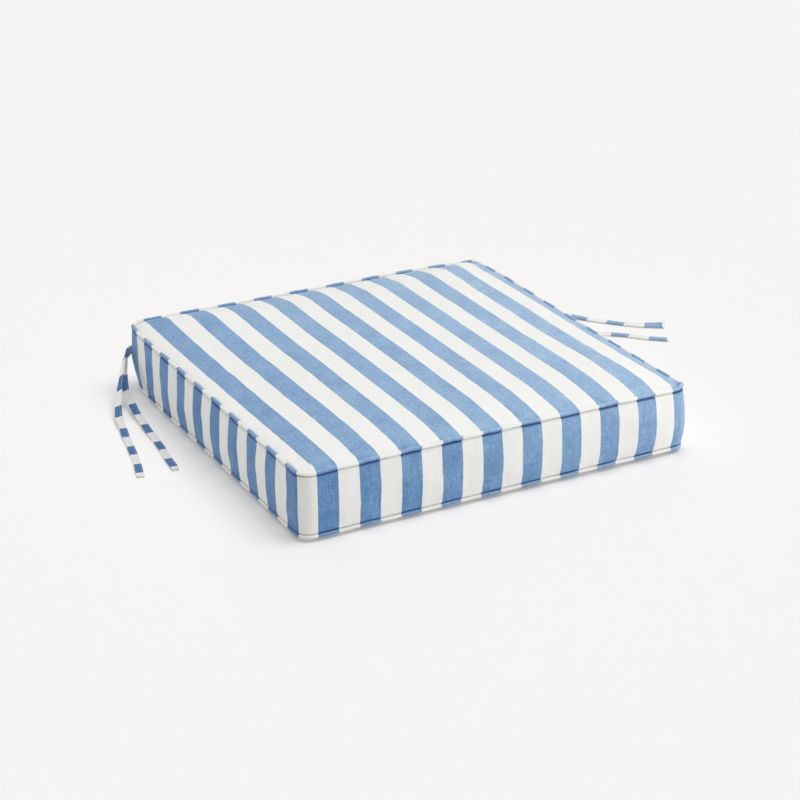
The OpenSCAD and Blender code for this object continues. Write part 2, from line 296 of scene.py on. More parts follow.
def by_size(polygons):
    """Polygon arrays gathered by corner count."""
    out = {}
    for p in polygons:
        out.setdefault(p.shape[1], []).append(p)
    return [np.concatenate(v) for v in out.values()]


def flipped(polygons, sign):
    return polygons if sign > 0 else [p[:, ::-1] for p in polygons]


def mirrored(points, sign):
    """The same points above or below the middle of the boxing."""
    return points if sign > 0 else points * [1, 1, -1] + [0, 0, 2 * MID]


def turning(count):
    """Angles evenly round a circle."""
    return np.linspace(0, 2 * np.pi, count, endpoint=False)


def coordinates(*axes):
    """Points from arrays of x, y and z (or of whatever else) that broadcast together."""
    return np.stack(np.broadcast_arrays(*axes), -1)


def unit(v):
    return v / np.maximum(np.linalg.norm(v, axis=-1, keepdims=True), 1e-12)


def strip(line, half):
    """The two faces of a strip of cloth along a section line."""
    d = unit(np.gradient(line, axis=0))
    across = np.stack([d[:, 1], -d[:, 0]], -1)
    return line + across * half, line - across * half


def run_length(line):
    return np.concatenate([[0], np.cumsum(np.linalg.norm(np.diff(line, axis=0), axis=-1))])


def sample(s, along, line):
    """Points of a line at distances s, where along holds the distance of each of its points."""
    return np.stack([np.interp(s, along, column) for column in line.T], -1)


# ---- materials ----


class Wire:
    """An output of a node, to be reckoned with like a number."""

    def __init__(self, graph, socket):
        self.graph, self.socket = graph, socket

    def __add__(self, other):
        return self.graph.math("ADD", self, other)

    def __radd__(self, other):
        return self.graph.math("ADD", other, self)

    def __sub__(self, other):
        return self.graph.math("SUBTRACT", self, other)

    def __rsub__(self, other):
        return self.graph.math("SUBTRACT", other, self)

    def __mul__(self, other):
        return self.graph.math("MULTIPLY", self, other)

    def __truediv__(self, other):
        return self.graph.math("DIVIDE", self, other)

    def clamped(self):
        self.socket.node.use_clamp = True
        return self


class Graph:
    """A material under construction."""

    def __init__(self, name):
        self.material = bpy.data.materials.new(name)
        self.material.use_nodes = True
        self.tree = self.material.node_tree
        self.tree.nodes.clear()
        self.shader = self.tree.nodes.new("ShaderNodeBsdfPrincipled")
        out = self.tree.nodes.new("ShaderNodeOutputMaterial")
        self.tree.links.new(self.shader.outputs[0], out.inputs["Surface"])

    def feed(self, made, inputs):
        for key, value in inputs.items():
            if isinstance(value, Wire):
                self.tree.links.new(value.socket, made.inputs[key])
            else:
                made.inputs[key].default_value = value

    def set(self, **values):
        self.feed(self.shader, {key.replace("_", " "): value for key, value in values.items()})
        return self.material

    def node(self, kind, inputs=(), out=0, **settings):
        made = self.tree.nodes.new("ShaderNode" + kind)
        for key, value in settings.items():
            setattr(made, key, value)
        self.feed(made, dict(inputs))
        return Wire(self, made.outputs[out])

    def math(self, operation, a, b=0.0):
        return self.node("Math", {0: a, 1: b}, operation=operation)

    def split(self, vector):
        return [Wire(self, out) for out in self.node("SeparateXYZ", {0: vector}).socket.node.outputs]

    def vector(self, x, y, z=0.0):
        return self.node("CombineXYZ", {0: x, 1: y, 2: z})

    def stretched(self, where, scale):
        return self.node("Mapping", {"Vector": where, "Scale": scale})

    def noise(self, where, scale, detail=2.0, rough=0.5):
        return self.node("TexNoise", {"Vector": where, "Scale": scale, "Detail": detail, "Roughness": rough})

    def mix(self, share, a, b):
        return self.node("Mix", {0: share, 6: a, 7: b}, out=2, data_type="RGBA")

    def bump(self, height, depth, strength):
        return self.node("Bump", {"Height": height, "Distance": depth, "Strength": strength})


def shade(r, g, b):
    """Linear colour of a paint given as it looks, 0 to 255."""
    return tuple((v / 255 / 12.92 if v < 10.3 else ((v / 255 + 0.055) / 1.055) ** 2.4) for v in (r, g, b)) + (1.0,)


YARN = 0.00046  # pitch of the yarns in metres
TWILL = 0.0021  # pitch of the faint diagonal in metres
# darkest and palest yarn of each colour
# painted light: the first blue pair is the blue painted where light falls (top, right side), the second the blue
# painted on shaded sides
PAINTED_LIT_BLUE = ((122, 158, 194), (181, 206, 227))
PAINTED_SHADED_BLUE = ((50, 100, 157), (114, 160, 203))
WHITE = ((236, 236, 232), (222, 222, 218))
# the ties' shaded blue is darker still: painted shade of the left ties
TIE_PAINTED_SHADED_BLUE = ((30, 78, 134), (92, 142, 190))
# painted shade: the deep navy painted on the blue in the seams' creases
CREASE_SHADE_BLUE = (28, 84, 152)


def striped(name, top_painted_light, shaded_pair=PAINTED_SHADED_BLUE):
    """Yarn-dyed striped canvas, with painted light and painted crease shade. The cloth attribute holds metres across
    the stripes, along them, and a third value: wear where positive, painted crease shade where negative.
    """
    g = Graph(name)
    x, y, wear_and_crease_shade = g.split(g.node("Attribute", attribute_name="cloth", out="Vector"))
    # the stripes' edges wander and are jagged by single yarns
    across = x + (g.noise(g.vector(x, y), 90.0, 1.0) - 0.5) * 0.0007
    across = across + (g.noise(g.vector(x * 300.0, y * 1500.0), 1.0, 0.0) - 0.5) * 0.0004
    turn = g.math("FRACT", across / (2 * STRIPE * MM))
    is_blue = ((0.252 - g.math("ABSOLUTE", turn - 0.75)) * 180.0).clamped()
    weave = g.math("SINE", x * (math.pi / YARN)) * g.math("SINE", y * (math.pi / YARN))
    knuckle = g.math("ABSOLUTE", weave)
    twill = g.math("SINE", (x + y) * (2 * math.pi / TWILL))
    warp_yarn = g.noise(g.vector(x * 1100.0, y * 40.0), 1.0, 2.0)
    weft_yarn = g.noise(g.vector(x * 35.0, y * 1300.0), 1.0, 1.0)
    slub = g.noise(g.vector(x * 330.0, y * 170.0), 1.0, 3.0, 0.6)
    cloud = g.noise(g.vector(x, y), 26.0, 3.0)
    tone = 0.42 + (warp_yarn - 0.5) * 1.1 + (weft_yarn - 0.5) * 0.8 + (slub - 0.5) * 1.15
    tone = (tone + (cloud - 0.5) * 0.8 + weave * 0.16 + twill * 0.1).clamped()
    # painted light: the blue is painted palest on the top, where the light falls, and paler on the lit right side than
    # on the shaded left
    normal_x, _, normal_z = g.split(g.node("NewGeometry", out="Normal"))
    place_x = g.split(g.node("TexCoord", out="Object"))[0]
    painted_light_share = (0.31 + normal_z * top_painted_light + normal_x * 0.25 + place_x * 1.05).clamped()
    dyed = g.mix(painted_light_share, *(g.mix(tone, shade(*low), shade(*high)) for low, high in (shaded_pair, PAINTED_LIT_BLUE)))
    colour = g.mix(is_blue, g.mix(tone * 0.6, shade(*WHITE[0]), shade(*WHITE[1])), dyed)
    # positive third value: paler worn cloth; negative: painted crease shade, navy on the blue and a dimmer colour
    # overall
    rubbed, crease_shade = (wear_and_crease_shade * 1000.0).clamped(), (wear_and_crease_shade * -1000.0).clamped()
    colour = g.mix(rubbed * 0.12, colour, shade(236, 238, 240))
    colour = g.mix(crease_shade * is_blue * 0.92, colour, shade(*CREASE_SHADE_BLUE))
    crease_shade_and_weave_dim = (1.0 - crease_shade * 0.12) * (1.0 - (1.0 - knuckle) * 0.10)
    colour = g.node("VectorMath", {0: colour, 1: g.vector(crease_shade_and_weave_dim, crease_shade_and_weave_dim, crease_shade_and_weave_dim)}, operation="MULTIPLY")
    return g.set(
        Base_Color=colour,
        Roughness=0.52 + tone * 0.16,
        Normal=g.bump(knuckle + weave * 0.3 + warp_yarn * 0.9 + slub * 0.8, 0.00012, 0.55),
        Sheen_Weight=0.15,
        Sheen_Roughness=0.35,
        Sheen_Tint=(0.97, 0.99, 1.0, 1.0),
        Specular_IOR_Level=0.4,
    )


def plain_fabric(name, low, high, scale, depth, rough=0.9, sheen=0.2, stretch=(1.0, 1.0, 1.0)):
    """Uneven soft material in object space: foam, batting, cord, tape or thread."""
    g = Graph(name)
    where = g.stretched(g.node("TexCoord", out="Object"), stretch)
    fine = g.noise(where, scale, 3.0, 0.6)
    tone = (fine * 0.7 + g.noise(where, scale / 9, 2.0) * 0.5).clamped()
    return g.set(
        Base_Color=g.mix(tone, shade(*low), shade(*high)),
        Roughness=rough - 0.08 + fine * 0.12,
        Normal=g.bump(fine, depth, 0.6),
        Sheen_Weight=sheen,
        Sheen_Roughness=0.5,
        Specular_IOR_Level=0.25,
    )


def metal(name):
    """Die-cast zip metal: fine brushing, a few scratches and dulled patches."""
    g = Graph(name)
    where = g.node("TexCoord", out="Object")
    brushed = g.noise(g.stretched(where, (120.0, 2600.0, 2600.0)), 1.0, 2.0)
    patches = g.noise(where, 420.0, 3.0, 0.6)
    scratch = g.math("GREATER_THAN", g.noise(g.stretched(where, (300.0, 1900.0, 1900.0)), 1.0), 0.72)
    return g.set(
        Base_Color=g.mix((brushed * 0.4 + patches * 0.6).clamped(), shade(150, 150, 154), shade(206, 206, 208)),
        Metallic=1.0,
        Roughness=(0.24 + patches * 0.3 - scratch * 0.1).clamped(),
        Normal=g.bump(brushed, 0.00003, 0.5),
    )


def monofilament(name):
    """Milky nylon of the zip's spiral."""
    g = Graph(name)
    fine = g.noise(g.node("TexCoord", out="Object"), 900.0, 2.0)
    return g.set(
        Base_Color=g.mix(fine, shade(214, 217, 220), shade(240, 241, 241)),
        Roughness=0.26 + fine * 0.14,
        Normal=g.bump(fine, 0.00003, 0.4),
        Subsurface_Weight=0.15,
        Subsurface_Radius=(0.0008, 0.0008, 0.0008),
        Specular_IOR_Level=0.5,
    )


# the second argument sets how much painted light the top gets; the ties get almost none and a darker painted shade
CLOTH = striped("striped_canvas", 0.38)
TIE_CLOTH = striped("striped_canvas_ties", -0.06, TIE_PAINTED_SHADED_BLUE)
COIL = monofilament("nylon_coil")
FOAM = plain_fabric("open_cell_foam", (226, 214, 178), (240, 232, 204), 420.0, 0.0008)
BATTING = plain_fabric("fibre_batting", (232, 232, 230), (248, 248, 246), 150.0, 0.0012, stretch=(1.0, 0.35, 1.0))
CORD = plain_fabric("piping_cord", (224, 222, 214), (242, 241, 236), 900.0, 0.0002)
TAPE = plain_fabric("woven_tape", (212, 216, 220), (236, 238, 240), 1400.0, 0.0001, stretch=(0.3, 1.0, 1.0))
THREAD = plain_fabric("sewing_thread", (66, 98, 146), (104, 138, 182), 1600.0, 0.0001, rough=0.6, sheen=0.3)
WHITE_THREAD = plain_fabric("white_thread", (222, 222, 218), (244, 244, 242), 1600.0, 0.0001, rough=0.6, sheen=0.3)

# ---- ties ----

TACK_Z = (box("tie_tack_left")[0][2] + box("tie_tack_left")[1][2]) / 2
TIE_W, TIE_T = 9.0, 2.0
BLUE_BLOCK = 23.6  # length of a blue block, a little shorter than the white ones
TIE_FIRST = BACK_Y + 0.3 + TIE_T / 2
TIE_SECOND = TIE_FIRST + TIE_T + 0.3
TIE_RINGS = 150

# Route points from the back corner: x outward, y past the back, z, twist. The first three are flat on the boxing.
ROUTES = {
    "tie_left_outer": (
        -1, TIE_SECOND, -90, 9.0,
        rows([-2, 3, 45, -85], [5, -5, 44, -75], [13, -20, 42, -60], [25, -41, 32, -45], [36, -60, 20, -35],
             [47, -82, 11, -25], [55, -104, 6.5, -12], [60, -130, 3, 0], [65, -152, 2, 0], [70, -178, 1.5, 0],
             [75, -202, 1.5, 0], [81, -228, 1.5, 0], [87, -249, 1.5, 0], [90, -261, 1.5, 0]),
    ),
    "tie_left_inner": (
        -1, TIE_FIRST, -90, 7.0,
        rows([-4, 0.6, 44, -85], [3, -7, 42, -75], [10, -17, 39, -60], [20, -38, 27, -45], [27, -58, 16, -25],
             [29, -84, 9, -10], [31, -106, 5, 0], [33, -131, 3, 0], [35, -152, 2, 0], [37, -180, 1.5, 0],
             [40, -205, 1.5, 0], [44, -232, 1.5, 0], [46, -252, 1.5, 0], [48, -263, 1.5, 0]),
    ),
    "tie_right_outer": (
        1, TIE_SECOND, 90, 3.0,
        rows([-1, 4, 45, 85], [12, 0, 41, 70], [28, -6, 32, 45], [45, -15, 22, 25], [62, -27, 13, 10],
             [78, -42, 7, 3], [92, -59, 3.5, 0], [105, -77, 2, 0], [116, -94, 1.5, 0], [133, -114, 1.5, 0],
             [150, -133, 1.5, 0], [168, -150, 2.5, -14], [188, -164, 3.2, -24], [192, -167, 3.3, -25]),
    ),
    "tie_right_inner": (
        1, TIE_FIRST, 90, 3.0,
        rows([-4, 0.8, 43, 85], [4, -7, 39, 75], [10, -19, 33, 60], [22, -39, 23, 35], [37, -61, 13, 15],
             [53, -84, 6.5, 5], [70, -108, 3, 0], [86, -129, 2, 0], [101, -146, 1.5, 0], [114, -154, 1.5, 0],
             [131, -169, 1.5, 0], [149, -189, 1.5, 0], [168, -205, 1.5, 0], [172, -208, 1.5, 0]),
    ),
}
# Outline of a tie: two layers, folded on one edge and stitched shut near the other.
TIE_OUTLINE = rows([4.2, 0.94], [4.5, 0.6], [4.42, 0.14], [3.7, 0.0], [4.42, -0.14], [4.5, -0.6], [4.2, -0.94],
                   [3.3, -0.98], [2.9, -0.84], [2.5, -0.98], [0.0, -0.95], [-2.6, -0.98], [-4.0, -0.94],
                   [-4.42, -0.6], [-4.5, 0.0], [-4.42, 0.6], [-4.0, 0.94], [-2.6, 0.98], [0.0, 0.95],
                   [2.5, 0.98], [2.9, 0.84], [3.3, 0.98])


def smooth_route(route, count):
    """Catmull-Rom curve through a route's points, evenly spaced in its parameter as in the CAD source."""
    n = len(route) - 1
    u = np.linspace(0, n, count)
    i = np.minimum(u.astype(int), n - 1)
    t = (u - i)[:, None]
    a, b, c, d = (route[np.clip(i + k, 0, n)] for k in (-1, 0, 1, 2))
    return (2 * b + (c - a) * t + (2 * a - 5 * b + 4 * c - d) * t**2 + (3 * b - a - 3 * c + d) * t**3) / 2


def tie_frames(points, twist):
    """Across and face directions at each point of a tie."""
    heading = unit(np.gradient(points, axis=0))
    level = unit(np.cross([0.0, 0.0, 1.0], heading))
    rise = np.cross(heading, level)
    c, s = np.cos(np.radians(twist))[:, None], np.sin(np.radians(twist))[:, None]
    return heading, c * level - s * rise, c * rise + s * level


def stitch(a, b, face, side, thick):
    """One stitch between two points: a short thread that dips into the cloth at both ends."""
    u = np.linspace(0, 1, 5)[:, None]
    middle = a + (b - a) * u + face * np.array([-0.35, 0.12, 0.2, 0.12, -0.35])[:, None]
    wide = np.array([0.5, 0.9, 1.0, 0.9, 0.5])[:, None, None] * thick
    k = turning(6)[:, None]
    if np.dot(np.cross(face, side), b - a) < 0:
        side = -side  # so that the faces look outward
    return tube(middle[:, None] + wide * (np.cos(k) * side + np.sin(k) * face))


ties = []
for tie_name, (side, stand, twist, white_end, route) in ROUTES.items():
    placed = np.array([[-20, 0, 0, twist], [-16, 0, 0, twist], [-11, 0, 0, twist], *route], float)
    placed[:, 0] = side * (HALF + placed[:, 0])
    placed[:3, 1] = stand
    placed[3:, 1] += HALF
    placed[:3, 2] = TACK_Z
    curve = smooth_route(placed, TIE_RINGS * 6)
    length = run_length(curve[:, :3])
    at = np.linspace(0, length[-1], TIE_RINGS)
    curve = sample(at, length, curve)
    line, twist = curve[:, :3], curve[:, 3]
    heading, across, face = tie_frames(line, twist)
    seed = len(ties) + 31
    line = line + face * (0.12 * ripple(at, seed, 40, loop=400))[:, None] * ramp(at, 20, 60)[:, None]
    end = length[-1] - at
    wide = 1 - 0.05 * np.exp(-end / 0.8) + 0.015 * ripple(at, seed + 9, 22, loop=400)
    thick = 1 - 0.35 * np.exp(-end / 0.9) + 0.05 * ripple(at, seed + 19, 12, loop=400) + 0.12 * bell(end, 4.5, 2.6)
    cup = 0.05 * ripple(at, seed + 29, 55, loop=400)
    flat = TIE_OUTLINE[None, :, 0] * wide[:, None]
    deep = TIE_OUTLINE[None, :, 1] * thick[:, None] + cup[:, None] * (flat / 4.5) ** 2
    rings = line[:, None, :] + across[:, None, :] * flat[..., None] + face[:, None, :] * deep[..., None]
    rings[..., 2] = np.maximum(rings[..., 2], 0.05)
    # the blocks are counted from the free end
    marks = np.concatenate([[-60, 0], white_end + np.cumsum([0] + [BLUE_BLOCK, 2 * STRIPE - BLUE_BLOCK] * 7)])
    phases = np.concatenate([STRIPE - white_end - np.array([60, 0]), STRIPE + np.arange(15) * STRIPE])
    w = np.interp(end, marks, phases)
    cloth = coordinates(w[:, None], flat, 0.0)
    points, polygons = tube(rings)
    caps = np.array([[w[0], 0, 0], [w[-1], 0, 0]])
    tie = piece(tie_name + "_cloth", points, polygons, TIE_CLOTH, "striped_cloth", tie_name,
                np.concatenate([cloth.reshape(-1, 3), caps]))
    threads = []
    for sign in (1, -1):
        seam = line + across * (2.9 * wide)[:, None] + face * (sign * 0.86 * thick)[:, None]
        for start in np.arange(6.0, length[-1] - 3.5, 3.4):
            a, b = sample([start, start + 2.6], at, seam)
            i = np.searchsorted(at, start + 1.3)
            threads.append(stitch(a, b, sign * face[i], across[i], 0.2))
    points, polygons = joined(threads)
    points[:, 2] = np.maximum(points[:, 2], 0.02)
    row = piece(tie_name + "_stitching", points, polygons, WHITE_THREAD, "thread")
    tuple(line[0] * MM)
    (line * MM).tolist()
    ties.append(tie)

# ---- top and bottom panels ----

RINGS = 80
CLOTH_T = 0.9
SIMULATED_FRAMES = 20


def ring_depths():
    """How far each ring of a panel lies in from the seam plane, from the edge to the middle."""
    edge = [3.2, 3.3, 3.55, 4.0, 4.7, 5.6, 6.8, 8.3, 10.2, 12.4, 15.0, 18.0, 21.4, 25.2]
    return np.array(edge + list(np.linspace(29.4, HALF, RINGS + 1 - len(edge))))


def panel_grid(depths):
    """x and y of a square grid of points that lie on rounded square rings."""
    k = np.arange(-RINGS, RINGS + 1)
    i, j = np.meshgrid(k, k, indexing="ij")
    ring = np.maximum(np.abs(i), np.abs(j))
    u = depths[RINGS - ring]
    half = HALF - u
    bend = np.minimum(CORNER_R - 3.2 + 0.45 * (u - 3.2), 0.6 * half)
    share = np.minimum(np.abs(i), np.abs(j)) / np.maximum(ring, 1)
    path = share * (half - bend + bend * math.pi / 4)
    angle = np.clip((path - (half - bend)) / np.maximum(bend, 1e-9), 0, math.pi / 4)
    long = np.where(path < half - bend, half, half - bend + bend * np.cos(angle))
    short = np.where(path < half - bend, path, half - bend + bend * np.sin(angle))
    x_major = np.abs(i) >= np.abs(j)
    x = np.where(x_major, long, short) * np.sign(i)
    y = np.where(x_major, short, long) * np.sign(j)
    return x, y, u, ring


def ring_order():
    """Grid indices along the outermost ring, in order."""
    n, k = 2 * RINGS + 1, np.arange(2 * RINGS)
    return np.concatenate([k * n, n * (n - 1) + k, (n - 1 - k) * n + n - 1, n - 1 - k])


def doubled(count):
    """Matrix that fills in a cubic curve's midpoints between count points."""
    out = np.zeros((2 * count - 1, count))
    out[np.arange(0, 2 * count - 1, 2), np.arange(count)] = 1
    for i in range(count - 1):
        for k, share in ((-1, -0.0625), (0, 0.5625), (1, 0.5625), (2, -0.0625)):
            out[2 * i + 1, min(max(i + k, 0), count - 1)] += share
    return out


def billow(points, pinned, pressure, slack, cap, flip=False):
    """How far each point of a grid [row, column, xyz] moves as cloth under air pressure, where it isn't pinned.

    No point moves by more than cap, so that the stripes stay where they belong.
    """
    flat = points.reshape(-1, 3)
    mesh = bpy.data.meshes.new("billow")
    mesh.from_pydata((flat * MM).tolist(), [], grid(*pinned.shape, flip=flip).tolist())
    mesh.update()
    sheet = bpy.data.objects.new("billow", mesh)
    SCENE.collection.objects.link(sheet)
    sheet.vertex_groups.new(name="seam").add(pinned.ravel().nonzero()[0].tolist(), 1.0, "REPLACE")
    cloth = sheet.modifiers.new("Cloth", "CLOTH")
    s = cloth.settings
    s.quality, s.mass, s.air_damping = 6, 0.3, 3.0
    s.tension_stiffness, s.compression_stiffness, s.shear_stiffness, s.bending_stiffness = 40, 40, 15, 4.0
    s.tension_damping = s.compression_damping = s.shear_damping = 20
    s.use_pressure, s.uniform_pressure_force = True, pressure
    s.vertex_group_mass, s.shrink_min = "seam", -slack
    s.effector_weights.gravity = 0
    cloth.collision_settings.use_collision = False
    for number in range(1, SIMULATED_FRAMES + 1):
        SCENE.frame_set(number)
    shown = sheet.evaluated_get(bpy.context.evaluated_depsgraph_get())
    moved = np.zeros(flat.size, np.float32)
    shown.data.vertices.foreach_get("co", moved)
    SCENE.frame_set(1)
    bpy.data.objects.remove(sheet)
    bpy.data.meshes.remove(mesh)
    shift = moved.reshape(-1, 3).astype(float) / MM - flat
    size = np.linalg.norm(shift, axis=1, keepdims=True)
    return (shift * np.minimum(1, cap / np.maximum(size, 1e-9))).reshape(points.shape)


def refined(shift):
    """The same over the whole grid, of which shift holds every second point."""
    return np.einsum("ai,ijk,bj->abk", doubled(len(shift)), shift, doubled(shift.shape[1]))


# Height of the top against the distance in from each seam: the front rolls over, the back falls gently,
# and the left lies low.
TOP_U = [
    3.2, 3.3, 3.55, 4.0, 4.7, 6.0, 8.0, 10.2, 14.0, 20.0,
    28.0, 38.0, 50.0, 70.0, 95.0, 120.0, 150.0, 200.0, 250.0,
]
TOP_Z = {
    "front": [
        79.9, 80.6, 81.2, 81.7, 82.2, 82.9, 83.8, 84.5, 85.3, 86.0,
        86.6, 87.4, 88.4, 90.0, 91.0, 91.5, 91.9, 92.4, 92.7,
    ],
    "back": [
        79.3, 79.5, 79.7, 80.0, 80.35, 81.0, 82.0, 83.1, 84.9, 87.1,
        89.0, 90.4, 91.4, 92.2, 92.6, 92.8, 92.9, 92.9, 92.7,
    ],
    "left": [
        79.7, 80.3, 80.7, 81.0, 81.2, 81.5, 81.8, 82.1, 82.7, 83.6,
        84.7, 85.9, 87.1, 88.9, 90.5, 91.4, 92.0, 92.5, 92.7,
    ],
    "right": [
        79.9, 80.6, 81.2, 81.7, 82.1, 82.7, 83.3, 83.9, 85.0, 86.2,
        87.7, 89.0, 90.1, 91.2, 91.7, 92.0, 92.2, 92.5, 92.7,
    ],
}


def crown(x, y, u):
    """Height of the top at x and y, where u is the distance in from the seam plane."""
    depths = {"front": HALF + y, "back": HALF - y, "left": HALF + x, "right": HALF - x}
    nearest = np.minimum.reduce(list(depths.values()))
    total, weights = 0.0, 0.0
    for side, depth in depths.items():
        behind = np.maximum(depth - nearest, 0)
        share = np.exp(-behind / (3.0 + 0.3 * u))
        total = total + share * np.interp(u + behind, TOP_U, TOP_Z[side])
        weights = weights + share
    slack = 1.5 * ramp(y, 30, -90) * bell(x, -165, 55) + 1.6 * bell(x, -200, 40) * bell(y, -215, 30)
    return total / weights - slack * ramp(u, 4, 20)


LOW_U = [3.2, 3.3, 3.55, 4.0, 4.7, 6.0, 8.0, 11.0, 15.0, 20.0, 27.0, 250.0]
LOW_Z = [6.1, 5.4, 4.7, 4.1, 3.5, 2.8, 1.9, 1.0, 0.35, 0.08, 0.0, 0.0]
PIN_DEPTH = 5.0


def panel(name, node, upward, seed):
    x, y, u, ring = panel_grid(ring_depths())
    n, sign = 2 * RINGS + 1, 1 if upward else -1
    lively = ramp(u, 8, 40) if upward else 0
    z = crown(x, y, u) if upward else np.interp(u, LOW_U, LOW_Z)
    z = z + 0.35 * field(x, y, seed, 150) * lively + 0.12 * field(x, y, seed + 1, 45) * lively
    points = coordinates(x, y, z)
    if upward:
        shift = billow(points[::2, ::2], u[::2, ::2] < PIN_DEPTH, 1.0, 0.0005, 1.4)
        # only the unevenness is kept: the mean height of each ring stays as fitted
        ring = ring[::2, ::2] // 2
        mean_z = np.array([shift[..., 2][ring == r].mean() for r in range(RINGS // 2 + 1)])
        shift[..., 2] -= mean_z[ring]
        points = points + refined(shift)
    # puckers where the edge is sewn in
    t = np.arctan2(y, x) / (2 * np.pi) * LOOP
    puckers = ripple(t, seed + 2, 19, 14) * 0.38 + ripple(t, seed + 3, 9, 14) * 0.14
    points[..., 2] += (1 if upward else -0.3) * puckers * np.exp(-(((u - 7) / 6) ** 2)) * (0.4 + ramp(u, 3, 6))
    # the edge goes on into the seam
    order = ring_order()
    turned = [points.reshape(-1, 3)]
    coords = [coordinates(FIRST_BLUE - warp(points)[..., 0], y, 0.0).reshape(-1, 3)]
    edge = turned[0][order]
    centre = np.clip(edge[:, :2], CORNER_R - HALF, HALF - CORNER_R)
    out = unit(edge[:, :2] - centre)
    quads, last = [grid(n, n)], order
    for i, (depth, drop) in enumerate(((3.5, 0.35), (4.2, 0.6), (7.0, 0.65), (11.0, 0.65))):
        turned.append(np.concatenate([centre + out * (CORNER_R - depth), edge[:, 2:] - sign * drop], -1))
        # painted crease shade: the rows turned into the seam get a negative third cloth value
        coords.append(coords[0][order] + [0, 0, -min(1.0, depth - 3.2)])
        now = n * n + len(order) * i + np.arange(len(order))
        quads.append(np.stack([last, now, np.roll(now, -1), np.roll(last, -1)], -1))
        last = now
    outer, coords, quads = np.concatenate(turned), np.concatenate(coords), np.concatenate(quads)
    # the inside face, one cloth thickness below along the surface normals
    a, b, c, d = (outer[quads[:, k]] for k in range(4))
    faces, normals = np.cross(c - a, d - b), np.zeros_like(outer)
    for k in range(4):
        np.add.at(normals, quads[:, k], faces)
    normals = unit(normals)
    if normals[n * n // 2][2] * sign < 0:
        normals, quads = -normals, quads[:, ::-1]
    inner = outer - normals * CLOTH_T
    whole, following = len(outer), np.roll(last, -1)
    brim = np.stack([last, following, following + whole, last + whole], -1)
    if not upward:
        outer[:, 2], inner[:, 2] = np.maximum(outer[:, 2], 0.0), np.maximum(inner[:, 2], 0.6)
    return piece(name, warp(np.concatenate([outer, inner])), [quads, quads[:, ::-1] + whole, brim], CLOTH,
                 "striped_cloth", node, np.concatenate([coords, coords]))


top = panel("top_panel_cloth", "top_panel", True, 5)
panel("bottom_panel_cloth", "bottom_panel", False, 11)

# ---- boxing ----

FLANGE_TOP = rows([1.0, 76.6], [0.62, 77.2], [-0.1, 77.55], [-1.1, 77.7], [-2.6, 77.74], [-5.5, 77.7], [-9.5, 77.7])
FLANGE_LOW = FLANGE_TOP[::-1] * [1, -1] + [0, 2 * MID]
FACE_Z = np.concatenate([[10.6, 12.0], np.linspace(14.0, 72.0, 25), [74.0, 75.4]])


def boxing_rows(t):
    """Reach and height of the boxing's outer face at each t: [t, row]."""
    z, t = FACE_Z, t[:, None]
    s = (z - MID) / 35
    shape = np.clip(1 - np.abs(s) ** 2.4, 0, 1) ** 0.85
    reach = swell(t) * shape + 1.15 * np.exp(-(SEAM_HIGH - z) / 7) + 0.9 * np.exp(-(z - SEAM_LOW) / 7)
    high_puckers = ripple(t, 71, 23, 14) * 0.33 + ripple(t, 72, 10, 14) * 0.12
    low_puckers = ripple(t, 73, 21, 14) * 0.36 + ripple(t, 74, 9, 14) * 0.12
    reach = reach + high_puckers * np.exp(-(SEAM_HIGH - z) / 9) + low_puckers * np.exp(-(z - SEAM_LOW) / 9)
    reach = reach + ripple(t, 75, 34, 16) * 0.22 * shape * (1 + 0.35 * np.sin(s * 2.2 + t / 90))
    reach = reach + 0.12 * field(t, z, 76, 38)
    low, high = (np.repeat(flange[None], len(t), 0) for flange in (FLANGE_LOW, FLANGE_TOP))
    return np.concatenate([low, coordinates(reach, z), high], 1)


def stations(start, end, step):
    return np.linspace(start, end, max(2, int(round((end - start) / step)) + 1))


def two_faces(t, section, thick):
    """Outer and inner face of a strip whose section [t, row, (reach, z)] runs round the pad."""
    d = unit(np.gradient(section, axis=1))
    inside = section - np.stack([d[..., 1], -d[..., 0]], -1) * thick
    return [around(t, face[..., 0], face[..., 1]) for face in (section, inside)]


def sewn_ends(points, t):
    """Adds rows at both ends that turn inward, where a strip is sewn to its neighbour."""
    head, tail = [], []
    for along, deep in ((0.35, 0.12), (0.7, 0.5), (0.85, 1.2), (0.85, 5.5)):
        for rows_out, i, sign in ((head, 0, -1), (tail, -1, 1)):
            x, y = rim(t[i : i + 1 or None])[1][0]
            rows_out.append(points[i] + np.array([-y, x, 0.0]) * sign * along - np.array([x, y, 0.0]) * deep)
    return np.concatenate([np.array(head[::-1]), points, np.array(tail)])


def sewn_strip(name, node, t, section, faces, sign=1):
    """A strip of the boxing from its two faces; sign is -1 for one that is mirrored down."""
    points = [mirrored(sewn_ends(face, t), sign) for face in faces]
    steps = np.array([0.35, 0.8, 1.6, 5.9])
    t = np.concatenate([t[0] - steps[::-1], t, t[-1] + steps])
    section = np.concatenate([section[:1]] * 4 + [section] + [section[-1:]] * 4)
    v = np.cumsum(np.linalg.norm(np.diff(section, axis=1), axis=-1), 1)
    v = np.concatenate([np.zeros((len(t), 1)), v], 1)
    # below zero in the seams, where little light gets in
    from_seam = np.minimum(np.abs(section[..., 1] - SEAM_HIGH), np.abs(section[..., 1] - SEAM_LOW))
    points, polygons, cloth = shell(*points, coordinates(phase(t)[:, None], v, -ramp(from_seam, 3.0, 1.2)))
    piece(name, warp(points), flipped(polygons, sign), CLOTH, "striped_cloth", node, cloth)


